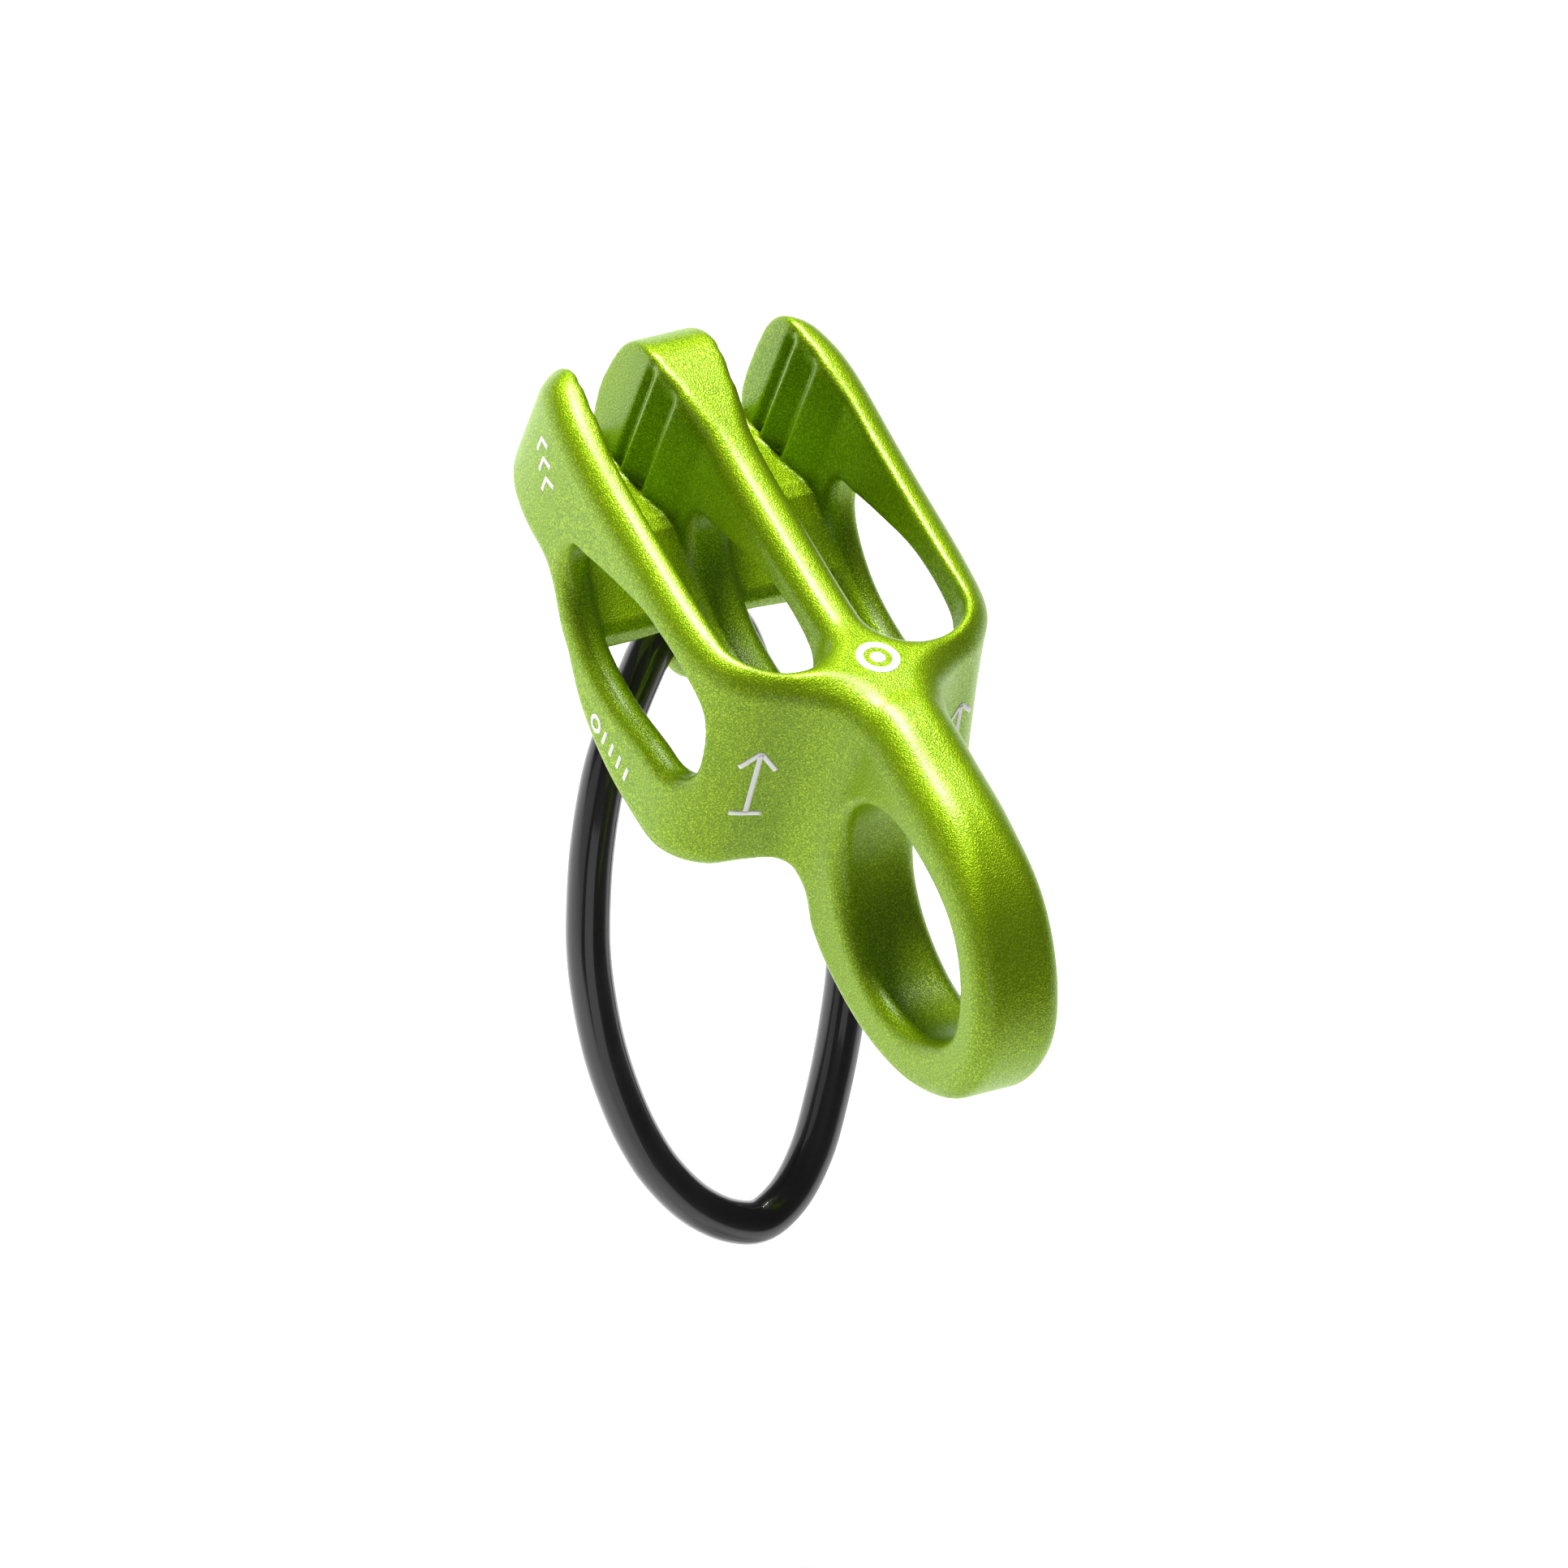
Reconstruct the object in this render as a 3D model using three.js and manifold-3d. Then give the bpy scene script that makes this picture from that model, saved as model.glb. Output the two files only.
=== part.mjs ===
// Tube-style rope descender: a forged body with two rope slots, stepped friction fins and an
// anchor eye, and a keeper loop of plastic-coated wire that swings in a bore behind the slots.
// Millimetres, +Z up. The origin is the middle of the anchor eye, on the body's mid plane.
// +X runs from the brake end to the eye end, +Y across the two rope slots, and +Z is the front,
// the side on which the ropes go in.
import * as THREE from 'three';
import { mergeVertices } from 'three/addons/utils/BufferGeometryUtils.js';
import Module from 'manifold-3d';

const wasm = await Module();
wasm.setup();

// Driving sizes of the body, along X
const brakeEnd = -66.7; // blunt end of the fins
const slotEnd = -22.0; // round end of the rope slots
const shoulderX = -27.0; // where the outer walls start to turn in towards the neck
const neckX = -14.5; // where the neck reaches the thickness of the eye
const eyeEnd = 16.9; // tip of the eye

// Driving sizes of the body, across it
const slotPitch = 15.2; // middle of one rope slot to the middle of the other
const slotWidth = 10.2;
const outerWall = 3.5;
const eyeThickness = 9.2;

// Driving sizes of the body, front to back
const frontHeight = 13.0; // front edges of the walls
const neckHeight = 15.4; // front of the neck and the eye
const strapDepth = 12.5; // deepest part of the back straps, behind the origin
const bridgeDepth = 5.2; // back of the bridge that joins the walls at the brake end
const eyeDepth = 15.4; // back of the eye

// The channel floor on the bridge: it runs level from the brake end to a lip, then falls away
const floorDepth = 2.9; // at the brake end
const lipX = -50.2;
const lipDepth = 0.5;
const bridgeEndX = -43.4;
const bridgeEndDepth = 4.1;

// Friction teeth on both faces of each channel: long slopes that face the eye, and short drops that
// face the brake end. The valleys are at the feet of the drops.
const toothCount = 2;
const toothPitch = 3.4;
const toothDepth = 0.8; // from a peak down to the valley beside it
const toothGrowth = 0.4; // how much further each tooth stands out than the one before
const dropLength = 0.9;
const rampX = -50.5; // where the faces begin to stand out
const firstValleyX = -56.1; // valley nearest the eye
const firstValleyDepth = 0.1; // how far the face stands out in that valley
const noseRiseLength = 0.7; // from the last valley to the plain face of the nose
const noseDepth = 1.2; // how far the faces stand out at the brake end

// The shoulders turn in nearer the eye at the back than at the front
const planBackZ = -8;
const planFrontZ = 13;

const eyeHole = { front: 9.4, back: 9.5, brake: 11.9, eye: 11.8 }; // reach from the origin
const faceRound = 2.2; // round along the edges of the outer faces
const eyeRound = 2.0; // round along the edges of the eye

// Driving sizes of the keeper
const bore = { x: -45.7, z: -9.8 };
const jacketDiameter = 4.3;
const jacketWall = 0.55;
const coreClearance = 0.25; // between the wire and what is around it
const boreClearance = 1.1; // around the jacket, which bends as it passes through its bore
const boreFlare = 1.4; // how far in the mouths of the bore open out
const lugWall = 2.2; // metal around the bore
const ferruleLength = 11;
const ferruleWall = 0.6;
const sleeveOverlap = 5; // how far the sleeve reaches past each end of the ferrule
const sleeveWall = 0.35;
const sleeveClearance = 0.25;
const loopStep = 2.1; // length of each straight piece of the loop

const middleWall = slotPitch - slotWidth;
const halfWidth = (slotPitch + slotWidth) / 2 + outerWall;
const reach = 100; // half length of the cutting solids, clear of the body
const arcSteps = 7; // straight pieces in each span of a smooth outline

function solidOf(geometry) {
  const bare = geometry.clone();
  bare.deleteAttribute('normal');
  bare.deleteAttribute('uv');
  const merged = mergeVertices(bare, 1e-5);
  return new wasm.Manifold(new wasm.Mesh({
    numProp: 3,
    vertProperties: new Float32Array(merged.attributes.position.array),
    triVerts: new Uint32Array(merged.index.array),
  }));
}

function geometryOf(solid) {
  const mesh = solid.getMesh();
  const geometry = new THREE.BufferGeometry();
  geometry.setAttribute('position', new THREE.BufferAttribute(mesh.vertProperties, 3));
  geometry.setIndex(new THREE.BufferAttribute(mesh.triVerts, 1));
  geometry.computeVertexNormals();
  return geometry;
}

function vectors(pairs) {
  return pairs.map(([a, b]) => new THREE.Vector2(a, b));
}

// A closed smooth outline through the points
function smoothOutline(pairs) {
  const curve = new THREE.CatmullRomCurve3(
    pairs.map(([a, b]) => new THREE.Vector3(a, b, 0)), true, 'centripetal');
  const samples = curve.getPoints(pairs.length * arcSteps).slice(0, -1);
  return new THREE.Shape(samples.map((p) => new THREE.Vector2(p.x, p.y)));
}

// A side view outline (X, Z) made solid across Y, with its two edges rounded
function acrossY(shape, thickness, round = 0) {
  const geometry = new THREE.ExtrudeGeometry(shape, {
    depth: thickness - 2 * round,
    bevelEnabled: round > 0,
    bevelThickness: round,
    bevelSize: round,
    bevelOffset: -round,
    bevelSegments: 4,
    curveSegments: arcSteps,
  });
  geometry.translate(0, 0, round - thickness / 2);
  geometry.rotateX(Math.PI / 2);
  return solidOf(geometry);
}

// A plan view outline (X, Y) that changes evenly with height, made solid between two heights
function loft(outlineAt, lowZ, highZ) {
  const [low, high] = [lowZ, highZ].map((z) => outlineAt(z).getPoints());
  const count = low.length;
  const { area, triangulateShape } = THREE.ShapeUtils;
  const place = (points, z) => points.flatMap((p) => [p.x, p.y, z]);
  const faces = [];
  triangulateShape(low, []).forEach((corners) => {
    const [a, b, c] = area(corners.map((i) => low[i])) > 0 ? corners : [...corners].reverse();
    faces.push(c, b, a, count + a, count + b, count + c);
  });
  for (let i = 0; i < count; i += 1) {
    const [here, next] = area(low) > 0 ? [i, (i + 1) % count] : [(i + 1) % count, i];
    faces.push(here, next, count + next, here, count + next, count + here);
  }
  const geometry = new THREE.BufferGeometry();
  const positions = [...place(low, lowZ), ...place(high, highZ)];
  geometry.setAttribute('position', new THREE.Float32BufferAttribute(positions, 3));
  geometry.setIndex(faces);
  return solidOf(geometry);
}

// A plan view outline (X, Y) made solid along Z
function alongZ(shape) {
  const geometry = new THREE.ExtrudeGeometry(shape, {
    depth: 2 * reach, bevelEnabled: false, curveSegments: 2 * arcSteps,
  });
  geometry.translate(0, 0, -reach);
  return solidOf(geometry);
}

// Side view of the walls: fins, front edges, shoulders and back straps
function wallsSide() {
  return smoothOutline([
    [brakeEnd, 0],
    [brakeEnd + 0.6, frontHeight * 0.45],
    [brakeEnd + 2.2, frontHeight * 0.78],
    [brakeEnd + 5.0, frontHeight * 0.97],
    [brakeEnd + 9.0, frontHeight + 0.2],
    [brakeEnd + 22, frontHeight - 0.3],
    [shoulderX, frontHeight],
    [slotEnd, frontHeight + 1.0],
    [neckX - 2, neckHeight - 0.8],
    [neckX + 4, neckHeight * 0.72],
    [neckX + 7, 3],
    [neckX + 4, -eyeDepth * 0.34],
    [neckX - 1, -eyeDepth * 0.53],
    [neckX - 5, -strapDepth * 0.81],
    [slotEnd - 1.5, -strapDepth * 0.95],
    [shoulderX - 1.5, -strapDepth],
    [shoulderX - 7, -strapDepth * 0.97],
    [bore.x + 6, -strapDepth + 2.1],
    [bore.x + 1, -strapDepth + 5.3],
    [lipX - 1, -bridgeDepth + 0.4],
    [lipX - 5, -bridgeDepth + 0.2],
    [brakeEnd + 7, -bridgeDepth],
    [brakeEnd + 2.6, -bridgeDepth + 0.9],
    [brakeEnd + 0.5, -bridgeDepth + 3.2],
  ]);
}

// Plan view of the walls at a height: round corners at the brake end, and shoulders that turn in
// to the neck. Each point of the shoulders has a place at the back and one at the front.
function wallsPlan(z) {
  const share = (z - planBackZ) / (planFrontZ - planBackZ);
  const between = (back, front) => back.map((value, i) => value + (front[i] - value) * share);
  const half = [
    [brakeEnd, 0],
    [brakeEnd, halfWidth - 12],
    [brakeEnd + 0.5, halfWidth - 9.4],
    [brakeEnd + 1.6, halfWidth - 6.5],
    [brakeEnd + 2.8, halfWidth - 4.3],
    [brakeEnd + 4.2, halfWidth - 2.8],
    [brakeEnd + 6.0, halfWidth - 1.6],
    [brakeEnd + 8.8, halfWidth - 0.7],
    [brakeEnd + 13, halfWidth - 0.1],
    [shoulderX - 14, halfWidth],
    between([shoulderX - 1, halfWidth], [shoulderX - 4, halfWidth - 0.1]),
    between([shoulderX + 5.5, halfWidth - 0.2], [shoulderX + 1, halfWidth - 0.7]),
    between([slotEnd + 3.0, halfWidth - 1.1], [slotEnd - 1.6, halfWidth - 1.8]),
    between([slotEnd + 4.8, halfWidth - 3.0], [slotEnd + 1.2, halfWidth - 4.6]),
    between([slotEnd + 5.5, halfWidth - 6.2], [slotEnd + 3.2, halfWidth - 8.0]),
    between([neckX - 1.2, eyeThickness / 2 + 2.4], [neckX - 2.2, eyeThickness / 2 + 1.2]),
    between([neckX + 1.0, eyeThickness / 2 + 0.4], [neckX + 1.0, eyeThickness / 2 + 0.1]),
    [neckX + 4, eyeThickness / 2],
    [neckX + 6.5, eyeThickness / 2],
  ];
  const other = half.slice(1).reverse().map(([x, y]) => [x, -y]);
  return smoothOutline([...half, ...other]);
}

// Side view of the neck and the eye ring
function eyeSide() {
  return smoothOutline([
    [neckX - 9, 5],
    [neckX - 7, neckHeight - 4],
    [neckX - 1, neckHeight - 0.4],
    [neckX + 8, neckHeight],
    [1.5, neckHeight - 0.4],
    [8.5, neckHeight - 3.2],
    [eyeEnd - 2.6, neckHeight - 8.6],
    [eyeEnd, 0.4],
    [eyeEnd - 1.6, -7.2],
    [9.6, -eyeDepth + 2.8],
    [1.6, -eyeDepth],
    [-7.5, -eyeDepth + 0.2],
    [-11.6, -eyeDepth + 1.6],
    [-14.2, -eyeDepth + 4.6],
    [-16.6, -eyeDepth + 7.2],
    [neckX - 7, -eyeDepth + 10],
    [neckX - 9, -eyeDepth + 15],
  ]);
}

function eyeHoleSide() {
  return smoothOutline([
    [-eyeHole.brake, 1.8],
    [-eyeHole.brake * 0.88, -eyeHole.back * 0.38],
    [-eyeHole.brake * 0.55, -eyeHole.back * 0.8],
    [0.8, -eyeHole.back],
    [eyeHole.eye * 0.62, -eyeHole.back * 0.8],
    [eyeHole.eye * 0.94, -eyeHole.back * 0.33],
    [eyeHole.eye * 0.95, eyeHole.front * 0.28],
    [eyeHole.eye * 0.66, eyeHole.front * 0.78],
    [3.0, eyeHole.front * 0.99],
    [-eyeHole.brake * 0.45, eyeHole.front * 0.96],
    [-eyeHole.brake * 0.87, eyeHole.front * 0.62],
  ]);
}

// Side window in every wall: a teardrop, pointed towards the brake end
function windowSide() {
  return smoothOutline([
    [-47.9, 3.7],
    [-45.2, 5.0],
    [-40.6, 6.9],
    [-34.4, 8.9],
    [-28.0, 8.9],
    [-24.6, 7.4],
    [-22.8, 3.8],
    [-22.6, -0.4],
    [-24.4, -2.8],
    [-29.2, -3.6],
    [-35.5, -4.6],
    [-41.3, -4.1],
    [-45.9, -1.8],
    [-47.9, 1.0],
  ]);
}

// Plan view of one rope slot: a round end at the eye side, straight sides, then the toothed channel
function slotPlan(side) {
  const middle = side * slotPitch / 2;
  const half = slotWidth / 2;
  const edge = [[rampX, half]];
  for (let tooth = 0; tooth < toothCount; tooth += 1) {
    const valleyX = firstValleyX - tooth * toothPitch;
    const valleyY = half - firstValleyDepth - tooth * toothGrowth;
    edge.push([valleyX + dropLength, valleyY - toothDepth]);
    edge.push([valleyX, valleyY]);
  }
  const noseX = firstValleyX - (toothCount - 1) * toothPitch - noseRiseLength;
  edge.push([noseX, half - noseDepth]);
  edge.push([noseX - reach, half - noseDepth]);
  const upper = edge.map(([x, y]) => [x, middle + y]);
  const lower = edge.map(([x, y]) => [x, middle - y]);
  const shape = new THREE.Shape();
  shape.absarc(slotEnd - half, middle, half, -Math.PI / 2, Math.PI / 2, false);
  upper.forEach(([x, y]) => shape.lineTo(x, y));
  lower.reverse().forEach(([x, y]) => shape.lineTo(x, y));
  return shape;
}

// Side view of the space in the slots: above the channel floor, and right through behind the bridge
function slotSpaceSide() {
  return new THREE.Shape(vectors([
    [brakeEnd - reach, -floorDepth],
    [brakeEnd, -floorDepth],
    [lipX - 6, -(floorDepth + lipDepth) / 2],
    [lipX - 1.5, -lipDepth],
    [lipX, -lipDepth - 0.2],
    [bridgeEndX, -bridgeEndDepth],
    [bridgeEndX + 0.6, -bridgeEndDepth - 1],
    [bridgeEndX + 0.6, -reach],
    [slotEnd + reach, -reach],
    [slotEnd + reach, reach],
    [brakeEnd - reach, reach],
  ]));
}

function ring(radius, sides, x = 0, y = 0) {
  return Array.from({ length: sides }, (_, i) => {
    const turn = 2 * Math.PI * (i + 0.5) / sides;
    return new THREE.Vector2(x + radius * Math.cos(turn), y + radius * Math.sin(turn));
  });
}

function circle(x, y, radius) {
  return new THREE.Shape(ring(radius, 32, x, y));
}

// The keeper's bore through the middle wall, opening out at both mouths
function makeBore(radius) {
  const half = middleWall / 2;
  const straight = half - boreFlare;
  const end = half + 1;
  const flare = radius + boreFlare + 1;
  const geometry = new THREE.LatheGeometry(vectors([
    [0, -end],
    [flare, -end],
    [radius, -straight],
    [radius, straight],
    [flare, end],
    [0, end],
  ]), 32);
  geometry.translate(bore.x, 0, bore.z);
  return solidOf(geometry);
}

function makeBody() {
  const jacketRadius = jacketDiameter / 2;
  const boreRadius = jacketRadius + boreClearance;
  const outline = loft(wallsPlan, -strapDepth - 2, neckHeight + 2);
  const walls = acrossY(wallsSide(), 2 * halfWidth, faceRound).intersect(outline);
  const eye = acrossY(eyeSide(), eyeThickness, eyeRound);
  const lug = acrossY(circle(bore.x, bore.z, boreRadius + lugWall), middleWall);
  const openings = [
    acrossY(windowSide(), 2 * reach),
    acrossY(eyeHoleSide(), 2 * reach),
    makeBore(boreRadius),
    ...[-1, 1].map((side) => alongZ(slotPlan(side)).intersect(acrossY(slotSpaceSide(), 2 * reach))),
  ];
  return openings.reduce((body, opening) => body.subtract(opening), walls.add(eye).add(lug));
}

// The keeper's middle line, around the loop from one end of the wire to the other. The ends meet
// behind the neck, inside the ferrule. Across Y, and out along the loop from its bore.
const loopTilt = Math.atan2(-0.8, 0.6); // direction in which the loop hangs, in the XZ plane
const routeWall = 5; // thickness of middle wall that the route is drawn for
const loopRoute = [
  [11.0, 20.8],
  [12.5, 25.5],
  [13.5, 31.0],
  [13.6, 37.0],
  [12.3, 43.1],
  [10.2, 49.8],
  [7.9, 55.2],
  [5.0, 58.9],
  [1.9, 60.5],
  [-1.2, 59.8],
  [-4.9, 57.3],
  [-8.3, 53.2],
  [-10.4, 49.3],
  [-12.0, 45.0],
  [-13.3, 40.0],
  [-14.0, 34.8],
  [-14.2, 30.5],
  [-13.95, 26.6],
  [-12.9, 19.8],
  [-10.8, 12.5],
  [-8.6, 8.0],
  [-6.5, 4.4],
  [-4.7, 1.8],
  [-2.6, 0.3],
  [0, -0.3],
  [2.2, 0.25],
  [3.8, 1.7],
  [4.9, 4.2],
  [5.7, 7.4],
  [7.2, 11.4],
  [9.0, 15.6],
];

function loopCurve() {
  const spread = (middleWall - routeWall) / 2;
  return new THREE.CatmullRomCurve3(loopRoute.map(([y, out]) => new THREE.Vector3(
    bore.x + out * Math.cos(loopTilt),
    y + Math.sign(y) * spread,
    bore.z + out * Math.sin(loopTilt),
  )), true, 'centripetal');
}

// A stretch of the loop. It is counted in whole steps, so that pieces inside one another bend at
// the same places and never touch.
class Stretch extends THREE.Curve {
  constructor(curve, firstStep, lastStep) {
    super();
    this.curve = curve;
    this.firstStep = firstStep;
    this.lastStep = lastStep;
  }

  getPoint(t, target = new THREE.Vector3()) {
    const along = (this.firstStep + (this.lastStep - this.firstStep) * t) / loopSteps(this.curve);
    return target.copy(this.curve.getPointAt(((along % 1) + 1) % 1));
  }

  getPointAt(u, target) {
    return this.getPoint(u, target);
  }
}

function loopSteps(curve) {
  return Math.round(curve.getLength() / loopStep);
}

// A round rod or tube along the loop, from one whole step along it to another
function alongLoop(curve, firstStep, lastStep, outer, inner, sides) {
  const section = new THREE.Shape(ring(outer, sides));
  if (inner > 0) section.holes.push(new THREE.Path(ring(inner, sides)));
  return new THREE.ExtrudeGeometry(section, {
    steps: lastStep - firstStep,
    extrudePath: new Stretch(curve, firstStep, lastStep),
    curveSegments: 1,
  });
}

const anodised = new THREE.MeshStandardMaterial({ color: 0x86b51c, roughness: 0.35, metalness: 0.9 });
const blackPlastic = new THREE.MeshStandardMaterial({ color: 0x1c1b20, roughness: 0.35, metalness: 0 });
const shrinkPlastic = new THREE.MeshStandardMaterial({ color: 0x151417, roughness: 0.5, metalness: 0 });
const steel = new THREE.MeshStandardMaterial({ color: 0x9a9c9e, roughness: 0.35, metalness: 1 });
const tinnedCopper = new THREE.MeshStandardMaterial({ color: 0xb9b7b0, roughness: 0.4, metalness: 1 });

const descender = new THREE.Group();

function addPiece(name, geometry, material) {
  const piece = new THREE.Mesh(geometry, material);
  piece.name = name;
  descender.add(piece);
}

function addKeeper() {
  const curve = loopCurve();
  const steps = loopSteps(curve);
  const outer = jacketDiameter / 2;
  const wire = outer - jacketWall - coreClearance;
  const ferruleInner = wire + coreClearance;
  const ferruleOuter = ferruleInner + ferruleWall;
  const sleeveInner = Math.max(ferruleOuter, outer) + sleeveClearance;
  const ferruleReach = Math.round(ferruleLength / 2 / loopStep);
  const sleeveReach = ferruleReach + 1 + Math.round(sleeveOverlap / loopStep);
  addPiece('keeper_wire', alongLoop(curve, 1, steps, wire, 0, 8), steel);
  addPiece('keeper_jacket',
    alongLoop(curve, ferruleReach + 2, steps - ferruleReach - 1, outer, outer - jacketWall, 12),
    blackPlastic);
  addPiece('keeper_ferrule',
    alongLoop(curve, -ferruleReach, ferruleReach + 1, ferruleOuter, ferruleInner, 12), tinnedCopper);
  addPiece('keeper_sleeve',
    alongLoop(curve, -sleeveReach, sleeveReach + 1, sleeveInner + sleeveWall, sleeveInner, 12),
    shrinkPlastic);
}

addPiece('body', geometryOf(makeBody()), anodised);
addKeeper();

export default descender;
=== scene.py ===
# Tube-style rope descender: the looks of the forged green body and its black keeper loop,
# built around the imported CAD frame. The sizes of the object are in millimetres, and become metres
# as they reach Blender. Distances of the camera, the lights and the floor's reach are in metres.
import math

import bpy
import numpy as np
import openvdb
from mathutils import Matrix, Vector
from mathutils.bvhtree import BVHTree


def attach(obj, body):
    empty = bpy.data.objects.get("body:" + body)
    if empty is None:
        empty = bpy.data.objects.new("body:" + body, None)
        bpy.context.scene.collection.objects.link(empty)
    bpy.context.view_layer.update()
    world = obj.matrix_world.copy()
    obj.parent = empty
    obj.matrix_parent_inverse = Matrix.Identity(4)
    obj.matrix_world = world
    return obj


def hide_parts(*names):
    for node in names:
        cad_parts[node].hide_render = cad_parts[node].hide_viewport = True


MM = 0.001

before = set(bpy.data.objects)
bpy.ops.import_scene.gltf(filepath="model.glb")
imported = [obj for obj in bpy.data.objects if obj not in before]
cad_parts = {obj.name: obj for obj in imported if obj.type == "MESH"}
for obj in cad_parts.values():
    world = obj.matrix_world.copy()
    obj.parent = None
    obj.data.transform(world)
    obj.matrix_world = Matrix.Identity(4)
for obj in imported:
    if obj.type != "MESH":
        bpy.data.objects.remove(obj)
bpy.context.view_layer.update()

# ---------------------------------------------------------------- driving sizes, as in the CAD
BRAKE_END = -66.7
SLOT_END = -22.0
SHOULDER_X = -27.0
NECK_X = -14.5
EYE_END = 16.9
SLOT_PITCH = 15.2
SLOT_WIDTH = 10.2
OUTER_WALL = 3.5
EYE_THICKNESS = 9.2
FRONT_HEIGHT = 13.0
NECK_HEIGHT = 15.4
STRAP_DEPTH = 12.5
BRIDGE_DEPTH = 5.2
EYE_DEPTH = 15.4
FLOOR_DEPTH = 2.9
LIP_X = -50.2
LIP_DEPTH = 0.5
BRIDGE_END_X = -43.4
BRIDGE_END_DEPTH = 4.1
TOOTH_COUNT = 2
TOOTH_PITCH = 3.4
TOOTH_DEPTH = 0.8
TOOTH_GROWTH = 0.4
DROP_LENGTH = 0.9
RAMP_X = -50.5
FIRST_VALLEY_X = -56.1
FIRST_VALLEY_DEPTH = 0.1
NOSE_RISE_LENGTH = 0.7
NOSE_DEPTH = 1.2
PLAN_BACK_Z = -8
PLAN_FRONT_Z = 13
MIDDLE_WALL = SLOT_PITCH - SLOT_WIDTH
HALF_WIDTH = (SLOT_PITCH + SLOT_WIDTH) / 2 + OUTER_WALL
HOLE_FRONT = 9.4
HOLE_BACK = 9.5
HOLE_BRAKE = 11.9
HOLE_EYE = 11.8
JACKET_RADIUS = 2.15
BORE_CLEARANCE = 1.1
BORE_RADIUS = JACKET_RADIUS + BORE_CLEARANCE
BORE_X = -45.7
BORE_Z = -9.8
LUG_WALL = 2.2
SLEEVE_RADIUS = 2.8
SLEEVE_WALL = 0.35
LOOP_STEP = 2.1
LOOP_TILT = math.atan2(-0.8, 0.6)
JACKET_FIRST = 5
JACKET_LAST = -4
SLEEVE_REACH = 6

# ---------------------------------------------------------------- edge rounds and fillets
SIDE_FILLET = 0.7
FLOOR_FILLET = 0.25
WALL_ROUND = 2.8
WALL_INNER_ROUND = 0.7
MIDDLE_ROUND = 2.3
STRAP_ROUND = 2.2
BRIDGE_ROUND = 5.5
NECK_ROUND = 3.8
EYE_ROUND = 2.2
HOLE_FRONT_ROUND = 1.1
HOLE_BACK_ROUND = 1.9
WINDOW_FRONT_ROUND = 0.7
WINDOW_BACK_ROUND = 1.6
BORE_ROUND = 1.2
LUG_ROUND = 0.8
LUG_FILLET = 0.6

# Where one shape or round gives way to another, along X, Y or Z.
BACK_TO_FRONT_Z = (-4, 4)
CUT_BACK_TO_FRONT_Z = (-2, 4)
BRIDGE_TO_STRAP_X = (-52, -44)
WALL_TO_NECK_X = (-24, -16)
NECK_TO_TIP_X = (0, 12)
BODY_TO_EYE_X = (-16, -8)
MIDDLE_TO_OUTER_Y = (2.6, 12.6)
FIN_TO_WALL_X = (-60, -46)
TOOTH_FADE_Z = (10.5, 12.8)
TOOTH_FADE = 0.8

# ---------------------------------------------------------------- fineness and small relief
VOXEL = 0.3
OUTSIDE_VALUE = 5.0
RELAX_ROUNDS = 2
TUBE_SIDES = 48
TUBE_SPACING = 0.6
SEAM_TURN = 2.4
SEAM_SPREAD = 0.09
SEAM_HEIGHT = 0.05
PRINT_HEIGHT = 0.03
PRINT_ROOT = 0.08
MARK_SEARCH = 8

# ---------------------------------------------------------------- camera, lights and floor
CAMERA_TARGET = Vector((-20.85, -4.92, -3.26)) * MM
CAMERA_RIGHT = Vector((0.4436, 0.863, 0.2412)).normalized()
CAMERA_UP_HINT = Vector((-0.753, 0.2136, 0.6219))
CAMERA_DISTANCE = 3.0
LENS_PER_METRE = 245.4
SENSOR_WIDTH = 36.0
LIGHT_DISTANCE = 1.2
LIGHTS = [  # name, direction from the object, side of the square in metres, power in watts
    ("key", (-0.566, -0.03, 0.812), 0.15, 21),
    ("window_light", (-0.566, 0.24, 0.812), 0.25, 6),
    ("eye_fill", (0.9, -0.4, 0.2), 0.7, 1.6),
    ("left_fill", (0.1, -1.0, 0.12), 0.8, 1.25),
]
WORLD_LEVEL = 0.12
FLOOR_BELOW_BORE = 90
FLOOR_REACH = 3


def add_camera():
    """A long lens from the front left, rolled as the picture is."""
    toward = CAMERA_RIGHT.cross(CAMERA_UP_HINT).normalized()
    up = toward.cross(CAMERA_RIGHT)
    data = bpy.data.cameras.new("camera")
    data.sensor_width = SENSOR_WIDTH
    data.lens = LENS_PER_METRE * CAMERA_DISTANCE
    data.clip_start = 0.1
    data.clip_end = 30
    camera = bpy.data.objects.new("camera", data)
    turn = Matrix((CAMERA_RIGHT, up, toward)).transposed().to_4x4()
    camera.matrix_world = Matrix.Translation(CAMERA_TARGET + toward * CAMERA_DISTANCE) @ turn
    bpy.context.scene.collection.objects.link(camera)
    bpy.context.scene.camera = camera


# ---------------------------------------------------------------- meshes and outlines
def add_mesh(name, points, faces):
    """A smooth-shaded mesh object from points in millimetres."""
    mesh = bpy.data.meshes.new(name)
    mesh.from_pydata((np.asarray(points) * MM).tolist(), [], faces)
    mesh.update()
    mesh.polygons.foreach_set("use_smooth", [True] * len(mesh.polygons))
    piece = bpy.data.objects.new(name, mesh)
    bpy.context.scene.collection.objects.link(piece)
    return piece


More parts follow.
